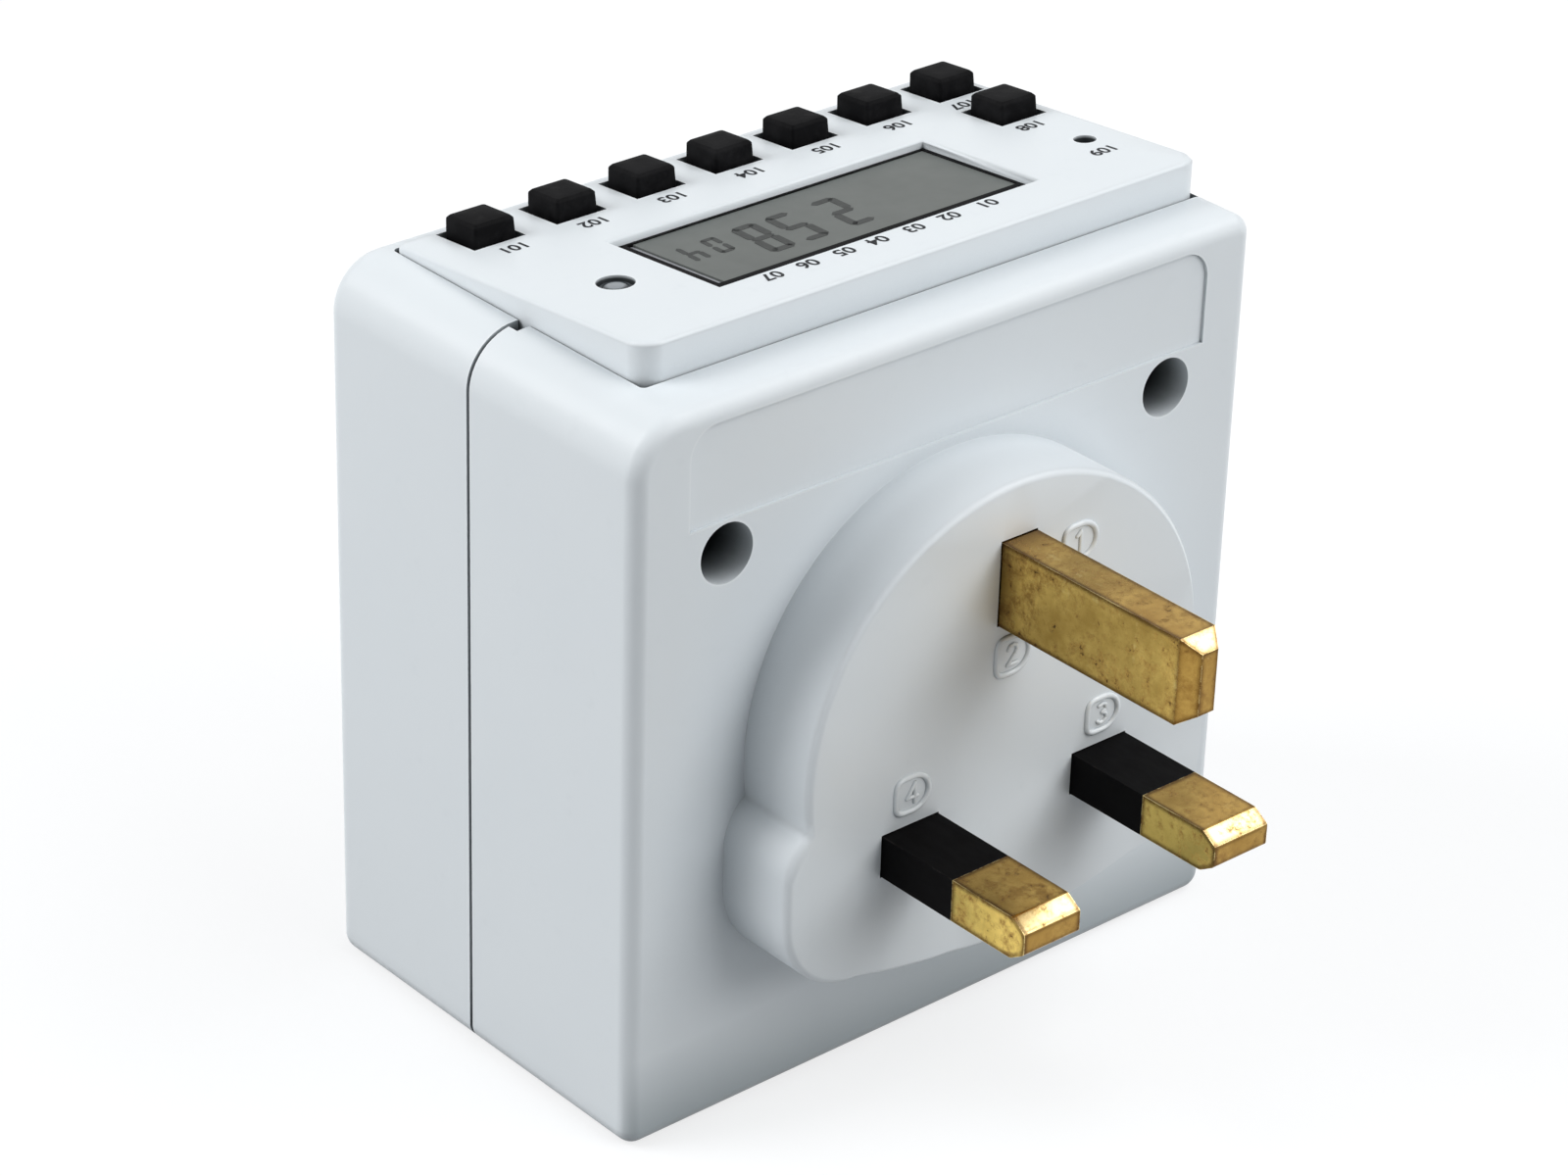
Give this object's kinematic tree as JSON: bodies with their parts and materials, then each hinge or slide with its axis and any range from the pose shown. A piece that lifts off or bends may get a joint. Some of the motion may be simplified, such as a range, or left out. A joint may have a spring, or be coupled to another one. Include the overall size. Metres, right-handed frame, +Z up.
{
  "type": "plug-in electronic timer",
  "caption": "Square plug-in digital timer: display and keys on a sloping top panel, socket apertures in front, three-pin plug behind.",
  "frame": {"origin": "centre of the case underside", "axes": "+Y out of the plug pins, -Y out of the socket face, +Z up through the control panel, +X towards the live pin"},
  "size_m": [0.07, 0.0731, 0.0733],
  "materials": {
    "white_shell": "fine satin moulded ABS",
    "black_rubber": "matt silicone",
    "brass": "bright drawn brass",
    "black_nylon": "satin",
    "lcd_face": "satin polarising film",
    "display_glass": "polished",
    "steel": "zinc plated",
    "carrier_grey": "moulded polyamide",
    "led_lens": "clear tinted epoxy",
    "board_green": "solder-masked laminate",
    "relay_case": "moulded case",
    "capacitor_case": "moulded case",
    "lead_brown": "insulated wire",
    "lead_blue": "insulated wire",
    "ribbon_grey": "flat ribbon"
  },
  "bodies": {
    "housing": {"backup_cell": "steel", "board_screw_left": "steel", "board_screw_right": "steel", "bridge_rectifier": "black_nylon", "carrier_screw_left": "steel", "carrier_screw_right": "steel", "case_screw_left": "steel", "case_screw_right": "steel", "clamp_screw_left": "steel", "clamp_screw_right": "steel", "clock_crystal": "steel", "contact_carrier": "carrier_grey", "contact_strip": "black_rubber", "control_board": "board_green", "control_panel": "white_shell", "controller_chip": "black_nylon", "dropper_resistor": "relay_case", "earth_contact": "brass", "earth_pin": "brass", "front_cover": "white_shell", "keypad_mat": "black_rubber", "lcd_film": "lcd_face", "lcd_frame": "black_nylon", "lcd_gasket": "black_rubber", "lcd_glass": "display_glass", "live_contact": "brass", "live_lead": "lead_brown", "live_pin": "brass", "live_pin_sleeve": "black_nylon", "neutral_contact": "brass", "neutral_lead": "lead_blue", "neutral_pin": "brass", "neutral_pin_sleeve": "black_nylon", "pin_clamp": "carrier_grey", "power_board": "board_green", "rear_cover": "white_shell", "relay": "relay_case", "relay_transistor": "black_nylon", "reset_switch": "black_nylon", "ribbon_cable": "ribbon_grey", "shutter_spring": "steel", "smoothing_capacitor": "black_nylon", "status_led": "led_lens", "x_capacitor": "capacitor_case"},
    "key_clock": {"key_clock": "black_rubber"},
    "key_hour": {"key_hour": "black_rubber"},
    "key_manual": {"key_manual": "black_rubber"},
    "key_minute": {"key_minute": "black_rubber"},
    "key_random": {"key_random": "black_rubber"},
    "key_recall": {"key_recall": "black_rubber"},
    "key_timer": {"key_timer": "black_rubber"},
    "key_week": {"key_week": "black_rubber"},
    "reset_plunger": {"reset_plunger": "black_nylon"},
    "shutter": {"shutter": "white_shell"}
  },
  "joints": [
    {"name": "clock_press", "type": "slide", "parent": "housing", "child": "key_clock", "axis": [0, 0.0872, -0.9962], "range_m": [0, 0.0012], "stiffness_N_per_m": 400},
    {"name": "hour_press", "type": "slide", "parent": "housing", "child": "key_hour", "axis": [0, 0.0872, -0.9962], "range_m": [0, 0.0012], "stiffness_N_per_m": 400},
    {"name": "manual_press", "type": "slide", "parent": "housing", "child": "key_manual", "axis": [0, 0.0872, -0.9962], "range_m": [0, 0.0012], "stiffness_N_per_m": 400},
    {"name": "minute_press", "type": "slide", "parent": "housing", "child": "key_minute", "axis": [0, 0.0872, -0.9962], "range_m": [0, 0.0012], "stiffness_N_per_m": 400},
    {"name": "random_press", "type": "slide", "parent": "housing", "child": "key_random", "axis": [0, 0.0872, -0.9962], "range_m": [0, 0.0012], "stiffness_N_per_m": 400},
    {"name": "recall_press", "type": "slide", "parent": "housing", "child": "key_recall", "axis": [0, 0.0872, -0.9962], "range_m": [0, 0.0012], "stiffness_N_per_m": 400},
    {"name": "timer_press", "type": "slide", "parent": "housing", "child": "key_timer", "axis": [0, 0.0872, -0.9962], "range_m": [0, 0.0012], "stiffness_N_per_m": 400},
    {"name": "week_press", "type": "slide", "parent": "housing", "child": "key_week", "axis": [0, 0.0872, -0.9962], "range_m": [0, 0.0012], "stiffness_N_per_m": 400},
    {"name": "reset_press", "type": "slide", "parent": "housing", "child": "reset_plunger", "axis": [0, 0.0872, -0.9962], "range_m": [0, 0.00025], "stiffness_N_per_m": 600},
    {"name": "shutter_slide", "type": "slide", "parent": "housing", "child": "shutter", "axis": [0, 0, -1], "range_m": [0, 0.0052], "stiffness_N_per_m": 120, "springref_m": -0.004, "deforming": ["shutter_spring"]}
  ]
}
